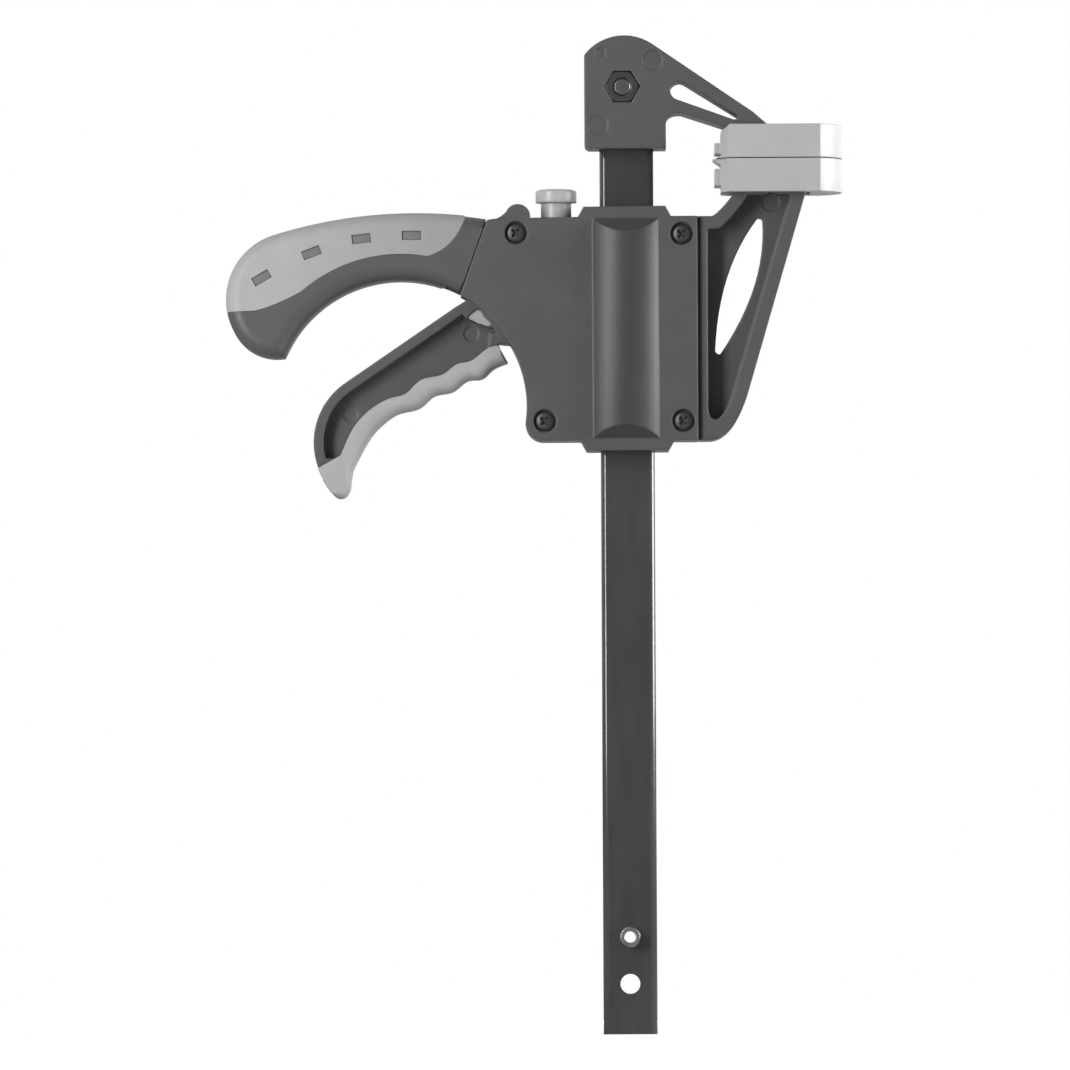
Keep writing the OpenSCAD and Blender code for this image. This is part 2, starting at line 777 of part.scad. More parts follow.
// A cover lying on the side of the frame that faces +Y
module cover() {
    difference() {
        union() {
            slab(frame_half, cover_half) cover_outline();
            ridge();
        }
        translate([0, 0, spring_seat_z])
            cylinder(r = spring_room_r, h = housing_h - 2 * spring_seat_z, $fn = 180);
        round_y(pivot, pivot_d / 2 + fit, 0, cover_half - 1);
    }
}

module front_cover() {
    color("dimgray")
        on_body()
            difference() {
                mirror([0, 1, 0]) cover();
                for (p = screw_spots) {
                    round_y(p, screw_d / 2 + 2 * fit, -far, 0);
                    round_y(p, screw_recess_d / 2, -far, 1.9 - cover_half);
                }
            }
}

module rear_cover() {
    color("dimgray")
        on_body()
            difference() {
                cover();
                for (p = screw_spots)
                    round_y(p, screw_d / 2 + 2 * fit, 0, cover_half - 0.9);
            }
}

module cover_screws() {
    head_y = 0.5 - cover_half;
    color("gray")
        on_body()
            for (p = screw_spots)
                difference() {
                    turned_y(p)
                        polygon([
                            [0, head_y], [screw_head_d / 4, head_y + 0.1], [screw_head_d / 2.5, head_y + 0.4],
                            [screw_head_d / 2, head_y + 0.9], [screw_head_d / 2, 1.9 - cover_half],
                            [screw_d / 2, 1.9 - cover_half],
                            [screw_d / 2, cover_half - 1.5], [0, cover_half - 1.5]
                        ]);
                    for (a = [42, 132])
                        translate([p[0], head_y, p[1]])
                            rotate([0, a, 0])
                                cube([3.4, 2.2, 1], center = true);
                }
}

// TRIGGER
// Its lines are drawn in distances from the pivot. Its soft grip has three steps for the fingers
finger_side = [
    [-54.3, -65.5], [-53.5, -59.9], [-51.8, -56], [-48.1, -49.4], [-44.4, -44.9], [-38.6, -40.7],
    [-31.4, -38.8], [-26.3, -34.7], [-20.2, -33.3], [-15.2, -29.7], [-10.2, -29], [-6.3, -25.7],
    [-1.8, -23.8]
];
web_side = [
    [-4.9, -18.1], [-8.3, -18.9], [-13.9, -23.1], [-18.9, -24.3], [-23.6, -27.7], [-29.6, -29],
    [-32.3, -30.6], [-36, -34.1], [-41.3, -35.6], [-45.7, -37.8], [-49.7, -41], [-53.7, -45.9],
    [-57.7, -54.5]
];
trigger_tip = [
    [-65.3, -58.7], [-64.3, -60.9], [-62.6, -64.3], [-59.2, -68.3], [-56.8, -68.6], [-55.3, -67.6]
];
trigger_back_c = [-42.6, -50.3];
trigger_back_r = 24;
trigger_root = [-19.2, -5.3];
web_end = [[-17.6, -7], [-15.5, -9.1], [-8.8, -11.9], [-6.6, -12.3], [-5.6, -13.8], [-4.9, -16.6]];
neck = [[-4.7, -17.4], [-1, -17.8], [1.6, -14.4]];
finger_mid = [
    [-5, -20.9], [-14, -26.4], [-24, -31.4], [-34, -36.4], [-42, -40.4], [-50, -48.4], [-59, -58.9]
];

// The soft grip's outline, from the tip along the finger side and back along the web
finger_line = concat(spline(finger_side), spline(web_side, 2), trigger_tip);

// A point of the trigger turned about the pivot by an angle
function turned(p, a) = [p[0] * cos(a) + p[1] * sin(a), p[1] * cos(a) - p[0] * sin(a)];

// The hard trigger's outline, its finger side hidden in the soft grip
module trigger_outline() {
    polygon(concat(
        arc(trigger_back_c, trigger_back_r, 124, 200, 24),
        [for (i = [len(finger_mid) - 1:-1:0]) finger_mid[i]],
        [neck[0], trigger_root]
    ));
    hull() {
        circle(r = hub_r, $fn = 48);
        polygon(concat([trigger_root, trigger_root + [2, -8]], neck));
    }
    hull() {
        circle(r = hub_r, $fn = 48);
        translate(nose - pivot) circle(r = nose_r, $fn = 32);
    }
}

module web_recess() {
    intersection() {
        offset(delta = -trigger_flange)
            union() {
                trigger_outline();
                polygon(concat(finger_mid, [[-59, -72], [-42, -72], [0, -32]]));
            }
        polygon(concat([[-72, -80], [-72, -20], [-22, 10]], web_end, [[0, -30], [-47, -72]]));
    }
}

module buffer_outline() {
    eased(0.5)
        polygon([
            [-15.6, -8.9], [-12.3, -6.1], [-10.7, -6.4], [-9.8, -8.3], [-6.9, -11.2], [-8.8, -11.8], [-11.7, -10.7]
        ]);
}

module on_pivot() {
    on_body()
        translate([pivot[0], 0, pivot[1]]) children();
}

module trigger() {
    color("dimgray")
        on_pivot()
            difference() {
                slab(-trigger_half, trigger_half)
                    difference() {
                        trigger_outline();
                        polygon(finger_line);
                    }
                slab(-far, -trigger_web_half) web_recess();
                slab(trigger_web_half, far) web_recess();
                slab(-far, far) buffer_outline();
                round_y([0, 0], pivot_d / 2 + fit, -far, far);
                for (p = [[-14, -14], [-54.4, -40.6]])
                    round_y(p, 2.5, -far, 0.3 - trigger_web_half);
            }
}

module trigger_soft_grip() {
    color("lightgray")
        on_pivot()
            slab(-finger_half, finger_half) polygon(finger_line);
}

module trigger_buffer() {
    color("lightgray")
        on_pivot()
            slab(0.5 - trigger_half, trigger_half - 0.5) buffer_outline();
}

module trigger_pivot_pin() {
    color("silver")
        on_body()
            round_y(pivot, pivot_d / 2, 1.2 - cover_half, cover_half - 1.2);
}

// LEVERS
module drive_lever() {
    color("silver")
        on_body()
            translate([0, 0, drive_top - drive_t])
                linear_extrude(drive_t)
                    difference() {
                        translate([drive_x[0], -lever_half])
                            square([drive_x[1] - drive_x[0], 2 * lever_half]);
                        square([slot_w, slot_t], center = true);
                    }
}

module brake_lever() {
    color("silver")
        on_body()
            translate([brake_pivot[0], 0, brake_pivot[1]])
                rotate([0, brake_cant, 0])
                    translate([-brake_pivot[0], 0, -brake_t / 2])
                        linear_extrude(brake_t)
                            difference() {
                                translate([brake_x[0], -lever_half])
                                    square([brake_x[1] - brake_x[0], 2 * lever_half]);
                                translate([slide_gap / 4, 0])
                                    square([slot_w + 2 * brake_t * sin(brake_cant), slot_t], center = true);
                            }
}

// RELEASE BUTTON
module release_button() {
    head_z0 = housing_h + button_travel + button_gap;
    flange_r = stem_r + 1.5;
    color("lightgray")
        on_body()
            translate([button_x, 0, 0])
                rotate_extrude()
                    polygon(concat(
                        [[0, stem_low_z], [stem_tip_r, stem_low_z], [flange_r, stem_low_z + 1.2]],
                        [[flange_r, housing_h - frame_wall - slide_gap], [stem_r, housing_h - frame_wall - slide_gap]],
                        [[stem_r, head_z0], [button_r, head_z0], [button_r, head_z0 + button_h - 1.2]],
                        curve([button_r, head_z0 + button_h - 1.2], [button_r, head_z0 + button_h],
                            [button_r - 2.4, head_z0 + button_h], 8),
                        [[0, head_z0 + button_h + 0.2]]
                    ));
}

// SPRINGS
rings_per_turn = 12;
wire_sides = 6;

// A point on the coil's centre line after t turns
function coil_at(t, turns, r, rise) = [r * cos(360 * t), r * sin(360 * t), rise * t / turns];

// The points round the wire at that place
function wire_ring(t, turns, mean_r, wire_r, rise) = [
    for (i = [0:wire_sides - 1])
        let (b = 360 * (i + 0.5) / wire_sides)
        coil_at(t, turns, mean_r + wire_r * cos(b), rise) + [0, 0, wire_r * (1 + sin(b))]
];

// A coil of one unbroken wire, from z = 0 up to its height
module coil(turns, outer_d, wire, height) {
    wire_r = wire / 2;
    mean_r = outer_d / 2 - wire_r;
    rise = height - wire;
    steps = turns * rings_per_turn;
    points = [
        for (k = [0:steps])
            each wire_ring(k / rings_per_turn, turns, mean_r, wire_r, rise)
    ];
    sides = [
        for (k = [0:steps - 1], i = [0:wire_sides - 1])
            let (a = k * wire_sides + i, b = k * wire_sides + (i + 1) % wire_sides)
            each [[a, b, a + wire_sides], [b, b + wire_sides, a + wire_sides]]
    ];
    first = [for (i = [wire_sides - 1:-1:0]) i];
    last = [for (i = [0:wire_sides - 1]) steps * wire_sides + i];
    echo(least_gap = min([
        for (k = [0:steps], m = [k + rings_per_turn / 2:steps])
            norm(coil_at(k / rings_per_turn, turns, mean_r, rise) - coil_at(m / rings_per_turn, turns, mean_r, rise))
    ]) - wire);
    polyhedron(points = points, faces = concat([first], [last], sides), convexity = 10);
}

module drive_spring() {
    color("silver")
        on_body()
            translate([0, 0, spring_seat_z + fit])
                coil(drive_turns, drive_spring_d, drive_wire, drive_top - drive_t - spring_seat_z - 2 * fit);
}

module brake_spring() {
    color("silver")
        on_body()
            translate([button_x, 0, shelf_z[1] + fit])
                coil(brake_turns, brake_spring_d, brake_wire, lever_low_z - 0.4 - shelf_z[1]);
}

bar();
stop_pin();
fixed_jaw();
fixed_jaw_pad();
jaw_bolt();
jaw_nut();
body_frame();
front_cover();
rear_cover();
cover_screws();
handle_soft_grip();
movable_jaw_pad();
trigger();
trigger_soft_grip();
trigger_buffer();
trigger_pivot_pin();
drive_lever();
drive_spring();
brake_lever();
brake_spring();
release_button();
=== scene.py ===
"""Looks of the quick release bar clamp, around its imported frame.

Metres, with +Z up along the bar and +X to the jaws. The camera looks along +Y.
"""

import json
import math

import bmesh
import bpy
from mathutils import Matrix, Vector


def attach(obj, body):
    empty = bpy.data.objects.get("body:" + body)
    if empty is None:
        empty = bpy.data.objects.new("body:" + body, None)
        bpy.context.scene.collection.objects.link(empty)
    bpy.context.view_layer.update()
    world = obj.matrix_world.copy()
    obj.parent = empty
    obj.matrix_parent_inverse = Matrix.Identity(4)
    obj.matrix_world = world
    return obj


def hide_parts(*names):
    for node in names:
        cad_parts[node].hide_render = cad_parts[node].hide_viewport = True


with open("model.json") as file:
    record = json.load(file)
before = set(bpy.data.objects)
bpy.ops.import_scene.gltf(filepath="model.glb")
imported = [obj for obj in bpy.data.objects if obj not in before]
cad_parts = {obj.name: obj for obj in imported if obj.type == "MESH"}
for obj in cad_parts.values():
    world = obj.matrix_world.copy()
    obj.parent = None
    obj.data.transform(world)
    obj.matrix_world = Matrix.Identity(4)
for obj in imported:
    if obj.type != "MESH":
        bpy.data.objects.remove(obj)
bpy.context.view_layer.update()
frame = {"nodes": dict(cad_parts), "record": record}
nodes = frame["nodes"]
slots = {row["node"]: row["material_slot"] for row in frame["record"]["subparts"]}
MM = 0.001
WHITE = (1, 1, 1, 1)


def add_object(name, data):
    made = bpy.data.objects.new(name, data)
    bpy.context.scene.collection.objects.link(made)
    return made


# Camera: a long lens, low in front of the clamp and tilted up at it
CAMERA_AT = Vector((-31, -4500, 17)) * MM
CAMERA_AIM = Vector((-31.05, 0, 166.5)) * MM
CAMERA_ROLL = math.radians(0.278)
VIEW_WIDTH = 356.7 * MM
SENSOR = 36.0
CLIP_START = 0.1
CLIP_END = 50


def make_camera():
    data = bpy.data.cameras.new("camera")
    camera = add_object("camera", data)
    sight = CAMERA_AIM - CAMERA_AT
    data.sensor_width = SENSOR
    data.lens = SENSOR * sight.length / VIEW_WIDTH
    data.clip_start = CLIP_START
    data.clip_end = CLIP_END
    turn = sight.to_track_quat("-Z", "Y").to_matrix().to_4x4()
    roll = Matrix.Rotation(-CAMERA_ROLL, 4, "Z")
    camera.matrix_world = Matrix.Translation(CAMERA_AT) @ turn @ roll
    bpy.context.scene.camera = camera


def node_of(tree, kind, **values):
    """A new shader node with its named inputs or properties set."""
    made = tree.nodes.new(kind)
    for name, value in values.items():
        if name in made.inputs:
            made.inputs[name].default_value = value
        else:
            setattr(made, name, value)
    return made


def spread(tree, value, low, high, from_min=0.0, from_max=1.0):
    """A value carried from one span to another, whose ends are floats or nodes' outputs."""
    made = node_of(tree, "ShaderNodeMapRange")
    made.inputs["From Min"].default_value = from_min
    made.inputs["From Max"].default_value = from_max
    tree.links.new(value, made.inputs["Value"])
    for name, end in (("To Min", low), ("To Max", high)):
        if isinstance(end, float):
            made.inputs[name].default_value = end
        else:
            tree.links.new(end, made.inputs[name])
    return made.outputs[0]


def ray_kinds(tree):
    """Two outputs: 1 for rays from the camera, off gloss or through glass, and 1 off gloss."""
    path = tree.nodes.new("ShaderNodeLightPath")
    straight = node_of(tree, "ShaderNodeMath", operation="MAXIMUM")
    tree.links.new(path.outputs["Is Camera Ray"], straight.inputs[0])
    tree.links.new(path.outputs["Is Transmission Ray"], straight.inputs[1])
    seen = node_of(tree, "ShaderNodeMath", operation="MAXIMUM")
    tree.links.new(straight.outputs[0], seen.inputs[0])
    tree.links.new(path.outputs["Is Glossy Ray"], seen.inputs[1])
    return seen.outputs[0], path.outputs["Is Glossy Ray"]


# The room lights softly from all round and is white to the camera
ROOM_LIGHT = 0.1
# Gloss sees a dim room in front that turns into the white one between these parts of Y
ROOM_FRONT = 0.25
ROOM_TURN = (-0.4, 0.3)


def make_room():
    world = bpy.data.worlds.new("studio")
    bpy.context.scene.world = world
    world.use_nodes = True
    tree = world.node_tree
    tree.nodes.clear()
    seen, glossy = ray_kinds(tree)
    split = tree.nodes.new("ShaderNodeSeparateXYZ")
    way = tree.nodes.new("ShaderNodeTexCoord").outputs["Generated"]
    tree.links.new(way, split.inputs[0])
    gloss_level = spread(tree, split.outputs["Y"], ROOM_FRONT, 1.0, *ROOM_TURN)
    strength = spread(tree, glossy, spread(tree, seen, ROOM_LIGHT, 1.0), gloss_level)
    back = node_of(tree, "ShaderNodeBackground", Color=WHITE)
    tree.links.new(strength, back.inputs["Strength"])
    out = tree.nodes.new("ShaderNodeOutputWorld")
    tree.links.new(back.outputs[0], out.inputs[0])


FLOOR_HALF = 6
FLOOR_COLOUR = (0.4, 0.4, 0.4, 1)
# The floor's glow where it is seen: less near the clamp, so that the shadow shows, than
# further out, and little in gloss
FLOOR_GLOW_NEAR = 0.71
FLOOR_GLOW_FAR = 0.97
FLOOR_GLOW_SPAN = (0.4, 1.6)
FLOOR_GLOSS = 0.15


def make_floor():
    mesh = bpy.data.meshes.new("floor")
    h = FLOOR_HALF
    mesh.from_pydata([(-h, -h, 0), (h, -h, 0), (h, h, 0), (-h, h, 0)], [], [(0, 1, 2, 3)])
    floor = add_object("floor", mesh)
    paint = bpy.data.materials.new("floor")
    paint.use_nodes = True
    tree = paint.node_tree
    tree.nodes.clear()
    matt = node_of(tree, "ShaderNodeBsdfDiffuse", Color=FLOOR_COLOUR)
    glow = node_of(tree, "ShaderNodeEmission", Color=WHITE)
    seen, glossy = ray_kinds(tree)
    far = node_of(tree, "ShaderNodeVectorMath", operation="LENGTH")
    tree.links.new(tree.nodes.new("ShaderNodeTexCoord").outputs["Object"], far.inputs[0])
    level = spread(tree, far.outputs["Value"], FLOOR_GLOW_NEAR, FLOOR_GLOW_FAR, *FLOOR_GLOW_SPAN)
    strength = spread(tree, glossy, spread(tree, seen, 0.0, level), FLOOR_GLOSS)
    tree.links.new(strength, glow.inputs["Strength"])
    both = tree.nodes.new("ShaderNodeAddShader")
    tree.links.new(matt.outputs[0], both.inputs[0])
    tree.links.new(glow.outputs[0], both.inputs[1])
    out = tree.nodes.new("ShaderNodeOutputMaterial")
    tree.links.new(both.outputs[0], out.inputs["Surface"])
    mesh.materials.append(paint)


# Softboxes: place, width, height and power; all face the clamp's middle
MIDDLE = Vector((0, 0, 0.18))
SOFTBOXES = {
    "left_softbox": ((-0.72, -0.82, 0.2), 0.3, 1.5, 18.2),
    "right_softbox": ((1.5, -0.12, 0.22), 0.8, 1.5, 60),
    "back_softbox": ((0.3, 1.6, 0.3), 1.0, 1.2, 20),
}
# The one that stands behind the clamp, and isn't seen by the camera or in gloss
UNSEEN_SOFTBOX = "back_softbox"


def softbox(name, place, width, height, power):
    data = bpy.data.lights.new(name, "AREA")
    data.shape = "RECTANGLE"
    data.size = width
    data.size_y = height
    data.energy = power
    lamp = add_object(name, data)
    lamp.location = place
    lamp.rotation_mode = "QUATERNION"
    lamp.rotation_quaternion = (MIDDLE - Vector(place)).to_track_quat("-Z", "Y")
    if name == UNSEEN_SOFTBOX:
        lamp.visible_camera = False
        lamp.visible_glossy = False


# The span in which most of a noise's values lie
NOISE_SPAN = (0.3, 0.7)
BEVEL_SAMPLES = 6
# The mix node's colour sockets share their names with others, so they go by number
MIX_IN, MIX_SHADE, MIX_OUT = 6, 7, 2


class Finish:
    """A procedural material: colour and roughness vary over it, and its grain is a bump."""

    def __init__(self, name, colour, rough, **sockets):
        self.material = bpy.data.materials.new(name)
        self.material.use_nodes = True
        self.tree = self.material.node_tree
        self.shader = self.tree.nodes["Principled BSDF"]
        self.place = self.tree.nodes.new("ShaderNodeTexCoord").outputs["Object"]
        self.colour = colour
        self.rough = rough
        self.bump = None
        for socket, value in sockets.items():
            self.shader.inputs[socket.replace("_", " ")].default_value = value

    def soften(self, radius):
        """Edges shaded as if rounded to that radius in millimetres."""
        made = node_of(self.tree, "ShaderNodeBevel", samples=BEVEL_SAMPLES, Radius=radius * MM)
        self.bump = made.outputs["Normal"]
        self.tree.links.new(self.bump, self.shader.inputs["Normal"])

    def noise(self, grain, detail, stretch=(1, 1, 1)):
        """Noise with grains of that size in millimetres, drawn out along an axis."""
        mapped = node_of(self.tree, "ShaderNodeMapping")
        mapped.inputs["Scale"].default_value = [1 / s for s in stretch]
        self.tree.links.new(self.place, mapped.inputs["Vector"])
        made = node_of(self.tree, "ShaderNodeTexNoise", Scale=1 / (grain * MM), Detail=detail)
        self.tree.links.new(mapped.outputs[0], made.inputs["Vector"])
        return made.outputs["Fac"]

    def along(self, axis):
        """The place along one axis of the piece."""
        split = self.tree.nodes.new("ShaderNodeSeparateXYZ")
        self.tree.links.new(self.place, split.inputs[0])
        return split.outputs[axis]

    def vary_colour(self, noise, share):
        """Colour from darker to lighter by that share of itself."""
        ramp = node_of(self.tree, "ShaderNodeValToRGB")
        low, high = ramp.color_ramp.elements
        low.position, high.position = NOISE_SPAN
        low.color = [c * (1 - share) for c in self.colour] + [1]
        high.color = [min(1, c * (1 + share)) for c in self.colour] + [1]
        self.tree.links.new(noise, ramp.inputs[0])
        self.tree.links.new(ramp.outputs[0], self.shader.inputs["Base Color"])
        return ramp.outputs[0]

    def shade(self, colour, where, shade):
        """The varied colour, multiplied by a shade where that output is 1."""
        mix = node_of(self.tree, "ShaderNodeMix", data_type="RGBA", blend_type="MULTIPLY")
        self.tree.links.new(where, mix.inputs["Factor"])
        self.tree.links.new(colour, mix.inputs[MIX_IN])
        mix.inputs[MIX_SHADE].default_value = (shade, shade, shade, 1)
        self.tree.links.new(mix.outputs[MIX_OUT], self.shader.inputs["Base Color"])

    def rough_over(self, noise, change):
        """Roughness that goes up and down by that much with the noise."""
        return spread(self.tree, noise, self.rough - change, self.rough + change, *NOISE_SPAN)

    def vary_rough(self, noise, change):
        self.tree.links.new(self.rough_over(noise, change), self.shader.inputs["Roughness"])

    def add_bump(self, noise, depth):
        """Relief of that depth in millimetres, on top of the softened edges if there are any."""
        made = node_of(self.tree, "ShaderNodeBump", Distance=depth * MM, Strength=1.0)
        self.tree.links.new(noise, made.inputs["Height"])
        if self.bump:
            self.tree.links.new(self.bump, made.inputs["Normal"])
        self.bump = made.outputs["Normal"]
        self.tree.links.new(self.bump, self.shader.inputs["Normal"])


# The moulded dark plastic; clouds are the wide, faint changes of its colour
MOULDED_COLOUR = (0.081, 0.081, 0.083)
MOULDED_ROUGH = 0.44
MOULDED_ROUGH_CHANGE = 0.06
MOULDED_GRAIN = 0.42
MOULDED_RELIEF = 0.055
MOULDED_CLOUDS = 14
MOULDED_CLOUD_SHARE = 0.07
# The covers' ridge: it begins between these distances from the middle, and keeps this share
# of their colour
RIDGE_FROM = 11.02 * MM
RIDGE_FULL = 11.4 * MM
RIDGE_SHADE = 0.53
RIDGE_ROUGH = 0.46


def dark_plastic():
    made = Finish("dark_plastic", MOULDED_COLOUR, MOULDED_ROUGH, Specular_IOR_Level=0.6)
    made.soften(radius=1.0)
    fine = made.noise(MOULDED_GRAIN, detail=2)
    made.vary_colour(made.noise(MOULDED_CLOUDS, detail=4), MOULDED_CLOUD_SHARE)
    made.vary_rough(fine, MOULDED_ROUGH_CHANGE)
    made.add_bump(fine, MOULDED_RELIEF)
    return made.material


def cover_plastic():
    """Grained on the flat faces; the ridge that stands proud of them is darker and smoother."""
    made = Finish("cover_plastic", MOULDED_COLOUR, MOULDED_ROUGH, Specular_IOR_Level=0.55)
    made.soften(radius=0.8)
    depth = node_of(made.tree, "ShaderNodeMath", operation="ABSOLUTE")
    made.tree.links.new(made.along("Y"), depth.inputs[0])
    proud = spread(made.tree, depth.outputs[0], 0.0, 1.0, RIDGE_FROM, RIDGE_FULL)
    fine = made.noise(MOULDED_GRAIN, detail=2)
    colour = made.vary_colour(made.noise(MOULDED_CLOUDS, detail=4), MOULDED_CLOUD_SHARE)
    made.shade(colour, proud, RIDGE_SHADE)
    rough = spread(made.tree, proud, made.rough_over(fine, MOULDED_ROUGH_CHANGE), RIDGE_ROUGH)
    made.tree.links.new(rough, made.shader.inputs["Roughness"])
    made.add_bump(fine, MOULDED_RELIEF)
    return made.material


def bar_steel():
    """Blackened steel with the long fine lines of drawing."""
    made = Finish(
        "bar_steel", (0.074, 0.075, 0.077), rough=0.12, Metallic=0.3, Specular_IOR_Level=0.5)
    drawn = made.noise(grain=0.35, detail=3, stretch=(1, 1, 60))
    made.vary_colour(made.noise(grain=6, detail=4, stretch=(1, 1, 5)), share=0.12)
    made.vary_rough(drawn, change=0.04)
    made.add_bump(drawn, depth=0.002)
    return made.material


def metal(name, colour, rough, grain=0.4, stretch=(1, 1, 1), metallic=1.0):
    made = Finish(name, colour, rough, Metallic=metallic)
    made.soften(radius=0.3)
    fine = made.noise(grain, detail=3, stretch=stretch)
    made.vary_colour(made.noise(grain=3, detail=3), share=0.06)
    made.vary_rough(fine, change=0.06)
    made.add_bump(fine, depth=0.004)
    return made.material


# What all the pale plastics share
PALE_CLOUDS = 9
PALE_CLOUD_SHARE = 0.035
PALE_ROUGH_CHANGE = 0.05
# The soft grips
GRIP_ROUGH = 0.55
GRIP_GRAIN = 0.5
GRIP_RELIEF = 0.02
# Painted shade: the handle's grip keeps this share of its colour at the housing, and all of it
# further out
GRIP_PAINTED_SHADE = 0.8
GRIP_PAINTED_SHADE_FROM = -115 * MM
GRIP_PAINTED_SHADE_FULL = -65 * MM


def soft_plastic(name, colour, rough=GRIP_ROUGH, grain=GRIP_GRAIN, relief=GRIP_RELIEF, **sockets):
    made = Finish(name, colour, rough, **sockets)
    made.soften(radius=0.6)
    fine = made.noise(grain, detail=2)
    made.vary_colour(made.noise(PALE_CLOUDS, detail=4), PALE_CLOUD_SHARE)
    made.vary_rough(fine, PALE_ROUGH_CHANGE)
    made.add_bump(fine, relief)
    return made.material


def handle_grip_painted_shade():
    """The handle's soft grip, with painted shade that makes it a little darker towards the
    housing.
    """
    made = Finish("handle_grip_painted_shade", (0.405, 0.405, 0.4), GRIP_ROUGH)
    fine = made.noise(GRIP_GRAIN, detail=2)
    # Painted shade: the colour darkens towards the housing
    near = spread(made.tree, made.along("X"), 0.0, 1.0, GRIP_PAINTED_SHADE_FROM, GRIP_PAINTED_SHADE_FULL)
    colour = made.vary_colour(made.noise(PALE_CLOUDS, detail=4), PALE_CLOUD_SHARE)
    made.shade(colour, near, GRIP_PAINTED_SHADE)
    made.vary_rough(fine, PALE_ROUGH_CHANGE)
    made.add_bump(fine, GRIP_RELIEF)
    return made.material


FINISHES = {
    "bar_steel": bar_steel(),
    "plated_steel": metal("plated_steel", (0.3, 0.3, 0.31), rough=0.34),
    "screw_steel": metal("screw_steel", (0.068, 0.068, 0.07), rough=0.4, metallic=0.4),
    "nut_steel": metal("nut_steel", (0.13, 0.13, 0.135), rough=0.36),
    "bolt_steel": metal("bolt_steel", (0.21, 0.21, 0.215), rough=0.34),
    "lever_steel": metal(
        "lever_steel", (0.5, 0.5, 0.5), rough=0.38, grain=0.3, stretch=(20, 1, 1)),
    "spring_steel": metal("spring_steel", (0.42, 0.42, 0.43), rough=0.3, grain=0.3),
    "dark_plastic": dark_plastic(),
    "cover_plastic": cover_plastic(),
    "soft_grip": soft_plastic("soft_grip", (0.4, 0.4, 0.395)),
    # The handle's grip, with painted shade towards the housing
    "handle_grip_painted_shade": handle_grip_painted_shade(),
    # Mid grey of the grip windows' floors: painted shade in the windows
    "window_floor_painted_shade": soft_plastic("window_floor_painted_shade", (0.18, 0.18, 0.178), rough=0.5),
    "pad_plastic": soft_plastic(
        "pad_plastic", (0.465, 0.465, 0.46), rough=0.42, grain=0.8, relief=0.012),
    "button_plastic": soft_plastic(
        "button_plastic", (0.5, 0.5, 0.492), rough=0.34, grain=0.6, relief=0.003,
        Transmission_Weight=0.1),
}
# Nodes whose finish is a variety of their slot's
VARIETY = {
    "jaw_nut": "nut_steel", "jaw_bolt": "bolt_steel",
    "front_cover": "cover_plastic", "rear_cover": "cover_plastic",
    "handle_soft_grip": "handle_grip_painted_shade",
}

# Rounding of each node's edges, in millimetres. The springs are round, and the trigger's soft
# grip has a piece in its place.
EDGES = {
    "bar": 0.12, "stop_pin": 0.25, "fixed_jaw": 0.45, "fixed_jaw_pad": 0.5,
    "jaw_bolt": 0.4, "jaw_nut": 0.4, "body_frame": 0.4, "front_cover": 0.45,
    "rear_cover": 0.45, "cover_screws": 0.12, "handle_soft_grip": 0.25,
    "movable_jaw_pad": 0.5, "trigger": 0.4, "trigger_buffer": 0.5,
    "trigger_pivot_pin": 0.2, "drive_lever": 0.3, "brake_lever": 0.3,
    "release_button": 0.35,
}
EDGE_SEGMENTS = 3
SHARP = math.radians(32)
WELD = 0.002 * MM


def dress(name):
    """The node's material, and modifiers that join its seams and round its sharp edges."""
    piece = nodes[name]
    piece.data.materials.clear()
    piece.data.materials.append(FINISHES[VARIETY.get(name, slots[name])])
    weld = piece.modifiers.new("weld", "WELD")
    weld.merge_threshold = WELD
    if name in EDGES:
        bevel = piece.modifiers.new("edges", "BEVEL")
        bevel.width = EDGES[name] * MM
        bevel.segments = EDGE_SEGMENTS
        bevel.limit_method = "ANGLE"
        bevel.angle_limit = SHARP
        bevel.miter_outer = "MITER_ARC"
        bevel.use_clamp_overlap = True
        bevel.harden_normals = True


# The floors of the handle grip's small windows: X and Z in millimetres, and turn in degrees
WINDOWS = [(-71.7, 266.1, 0), (-88.4, 265.1, 6.5), (-105, 260.5, 21), (-121.7, 252.2, 30.5)]
WINDOW_SIZE = (6.24, 0.16, 3.04)
WINDOW_DEPTH = 10.36
WINDOW_EASE = 0.06 * MM


def window_floors():
    """Thin plates on the handle's core, one in each window on both sides, edges eased; their mid
    grey, darker than the grip, is painted shade in the windows.
    """
    made = bmesh.new()
    size = Matrix.Diagonal([*(v * MM for v in WINDOW_SIZE), 1])
    for x, z, degrees in WINDOWS:
        turn = Matrix.Rotation(math.radians(-degrees), 4, "Y")
        for side in (-1, 1):
            place = Matrix.Translation(Vector((x, side * WINDOW_DEPTH, z)) * MM)
            bmesh.ops.create_cube(made, size=1, matrix=place @ turn @ size)
    bmesh.ops.bevel(
        made, geom=list(made.edges), offset=WINDOW_EASE, segments=2, affect="EDGES", profile=0.5)
    mesh = bpy.data.meshes.new("grip_window_floors")
    made.to_mesh(mesh)
    made.free()
    # The window floors' mid grey is painted shade
    mesh.materials.append(FINISHES["window_floor_painted_shade"])
    piece = add_object("grip_window_floors", mesh)
    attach(piece, "clamp_body")


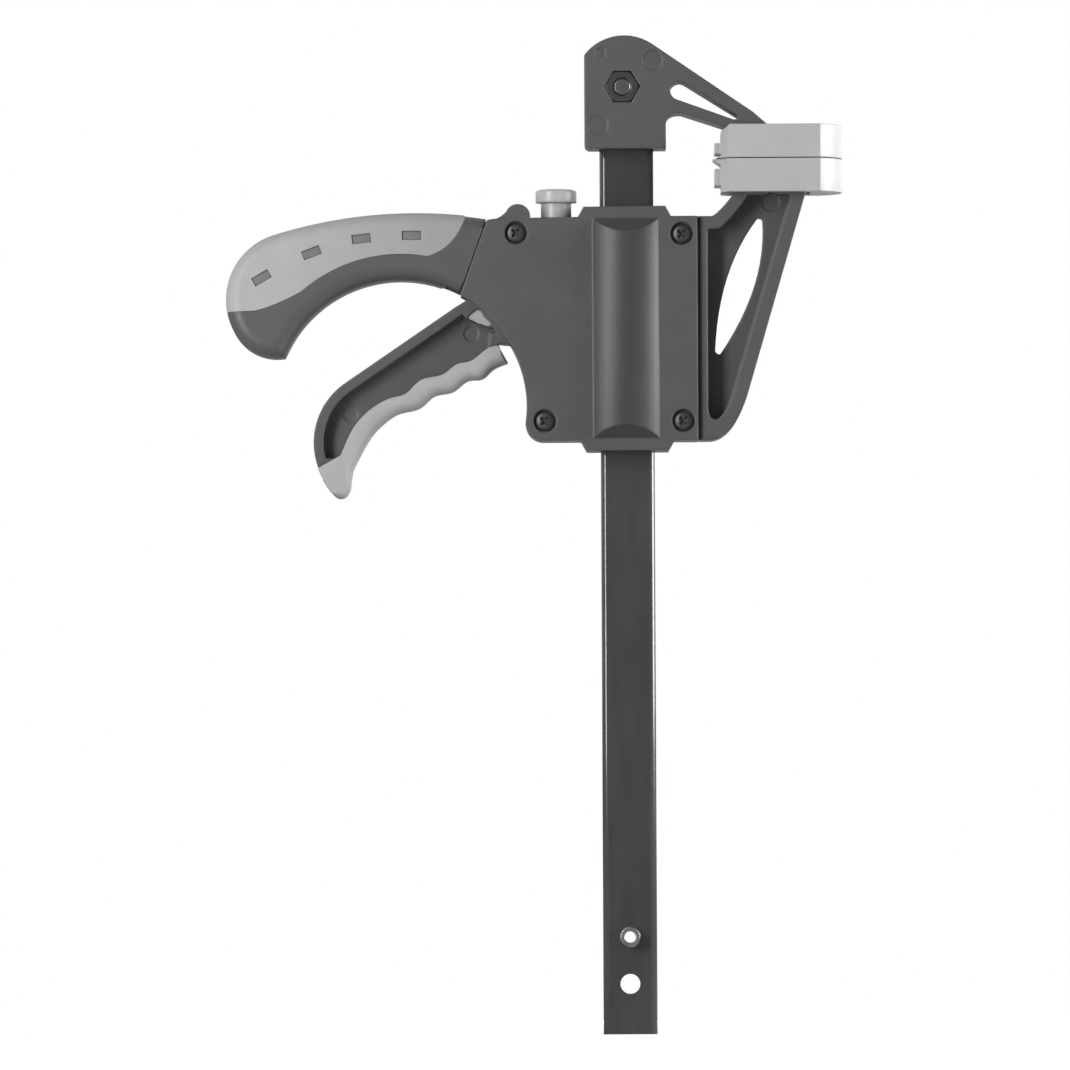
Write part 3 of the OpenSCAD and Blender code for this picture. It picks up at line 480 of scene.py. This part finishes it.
# The trigger's soft grip in millimetres from the pivot: finger side, web side and tip
PIVOT = (-38, 247.6)
FINGER_SIDE = [
    (-54.3, -65.5), (-53.5, -59.9), (-51.8, -56), (-48.1, -49.4), (-44.4, -44.9),
    (-38.6, -40.7), (-31.4, -38.8), (-26.3, -34.7), (-20.2, -33.3), (-15.2, -29.7),
    (-10.2, -29), (-6.3, -25.7), (-1.8, -23.8),
]
FINGER_STEPS = 6
WEB_SIDE = [
    (-4.9, -18.1), (-8.3, -18.9), (-13.9, -23.1), (-18.9, -24.3), (-23.6, -27.7),
    (-29.6, -29), (-32.3, -30.6), (-36, -34.1), (-41.3, -35.6), (-45.7, -37.8),
    (-49.7, -41), (-53.7, -45.9), (-57.7, -54.5),
]
WEB_STEPS = 4
GRIP_TIP = [
    (-65.3, -58.7), (-64.3, -60.9), (-62.6, -64.3), (-59.2, -68.3), (-56.8, -68.6),
    (-55.3, -67.6),
]
TIP_STEPS = 4
# The finger side's share of the rounding at each point of the tip and where it ends
TIP_SHARES = (0, 0, 0.1, 0.55, 0.85, 1, 1)
FINGER_HALF = 8.6
FINGER_ROUND = 4.2
WEB_ROUND = 0.8
ROUND_ANGLES = range(90, -1, -9)
# The way from the finger side to the web side
ACROSS = Vector((-0.625, 0.78))
BY_FACE_AREA = 100


def spline(points, steps):
    """A smooth line through all the points."""
    p = [Vector(q) for q in points]
    line = []
    for i in range(len(p) - 1):
        a, b, c, d = p[max(i - 1, 0)], p[i], p[i + 1], p[min(i + 2, len(p) - 1)]
        for k in range(steps):
            t = k / steps
            first_two = (c - a) * t + (2 * a - 5 * b + 4 * c - d) * t ** 2
            line.append(b + (first_two + (3 * b - a - 3 * c + d) * t ** 3) / 2)
    return line + [p[-1]]


def rounding(depth, radius):
    """How far an edge of that radius draws in at a depth below the side face."""
    if depth >= radius:
        return 0
    t = 1 - depth / radius
    return radius * (1 - math.sqrt(1 - t * t))


def grip_outline():
    """The grip's points, and each one's share of the finger side's rounding."""
    fingers = spline(FINGER_SIDE, FINGER_STEPS)
    web = spline(WEB_SIDE, WEB_STEPS)
    tip = spline(GRIP_TIP + FINGER_SIDE[:1], TIP_STEPS)[:-1]
    shares = [1] * len(fingers) + [0] * len(web)
    for low, high in zip(TIP_SHARES, TIP_SHARES[1:]):
        shares += [low + (high - low) * k / TIP_STEPS for k in range(TIP_STEPS)]
    return fingers + web + tip, shares


def soft_trigger_grip():
    """The grip's outline lofted from side to side, strongly rounded on the finger side."""
    line, shares = grip_outline()
    depths = [FINGER_ROUND * (1 - math.sin(math.radians(a))) for a in ROUND_ANGLES]
    levels = [(-FINGER_HALF + d, d) for d in depths]
    levels += [(FINGER_HALF - d, d) for d in reversed(depths)]
    made = bmesh.new()
    rings = []
    for y, depth in levels:
        in_front, in_web = rounding(depth, FINGER_ROUND), rounding(depth, WEB_ROUND)
        ring = []
        for point, share in zip(line, shares):
            q = point + ACROSS * (share * in_front - (1 - share) * in_web)
            ring.append(made.verts.new(Vector((PIVOT[0] + q.x, y, PIVOT[1] + q.y)) * MM))
        rings.append(ring)
    n = len(line)
    for low, high in zip(rings, rings[1:]):
        for i in range(n):
            j = (i + 1) % n
            made.faces.new((low[i], low[j], high[j], high[i]))
    made.faces.new(rings[0][::-1])
    made.faces.new(rings[-1])
    bmesh.ops.recalc_face_normals(made, faces=made.faces)
    for face in made.faces:
        face.smooth = True
    mesh = bpy.data.meshes.new("soft_trigger_grip")
    made.to_mesh(mesh)
    made.free()
    mesh.materials.append(FINISHES["soft_grip"])
    piece = add_object("soft_trigger_grip", mesh)
    normals = piece.modifiers.new("normals", "WEIGHTED_NORMAL")
    normals.weight = BY_FACE_AREA
    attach(piece, "trigger")
    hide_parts("trigger_soft_grip")


make_camera()
make_room()
make_floor()
for name, values in SOFTBOXES.items():
    softbox(name, *values)
bpy.context.scene.view_settings.view_transform = "Standard"
for name in nodes:
    dress(name)
window_floors()
soft_trigger_grip()
